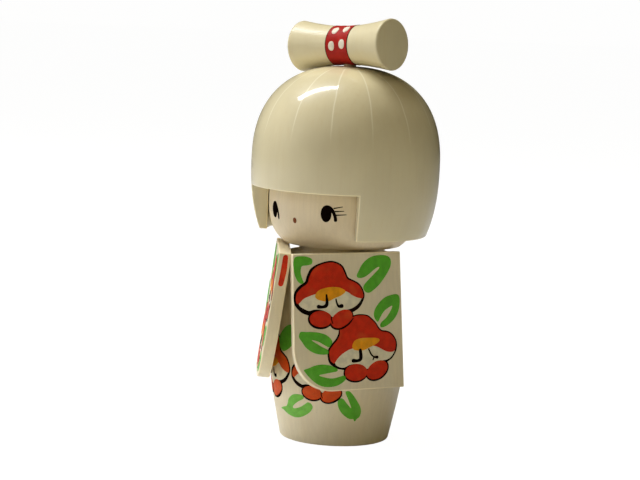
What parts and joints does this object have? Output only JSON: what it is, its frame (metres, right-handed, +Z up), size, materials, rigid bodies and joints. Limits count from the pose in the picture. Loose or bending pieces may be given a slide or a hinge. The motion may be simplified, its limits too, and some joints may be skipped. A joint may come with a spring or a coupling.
{
  "type": "kokeshi doll",
  "caption": "Turned wooden doll with V-set sleeve boards, a swivelling head with a lacquered bobbed hair cap, and a spool bun.",
  "frame": {"origin": "centre of the flat underside that the doll stands on, on the axis that the head turns about", "axes": "+Z up along the turning axis; the doll's chest faces -Y and its left arm is towards +X"},
  "size_m": [0.0756, 0.0845, 0.1702],
  "materials": {
    "painted_wood": "satin varnish over pale wood",
    "face_wood": "matt varnish over pale wood",
    "lacquered_wood": "glossy cream lacquer",
    "bare_wood": "plain dowel",
    "red_paint": "satin brush paint",
    "orange_paint": "satin brush paint",
    "green_paint": "satin brush paint",
    "yellow_paint": "satin brush paint",
    "white_paint": "satin brush paint",
    "black_paint": "satin brush paint"
  },
  "bodies": {
    "torso": {"body": "painted_wood", "sleeve_left": "painted_wood", "sleeve_right": "painted_wood", "sleeve_peg_left_upper": "bare_wood", "sleeve_peg_left_lower": "bare_wood", "sleeve_peg_right_upper": "bare_wood", "sleeve_peg_right_lower": "bare_wood"},
    "head": {"face": "face_wood", "hair_cap": "lacquered_wood", "bun": "lacquered_wood", "bun_peg": "bare_wood", "neck_peg": "bare_wood"}
  },
  "joints": [
    {"name": "head_turn", "type": "hinge", "parent": "torso", "child": "head", "pos_m": [0, 0, 0.0788], "axis": [0, 0, 1], "continuous": true}
  ]
}
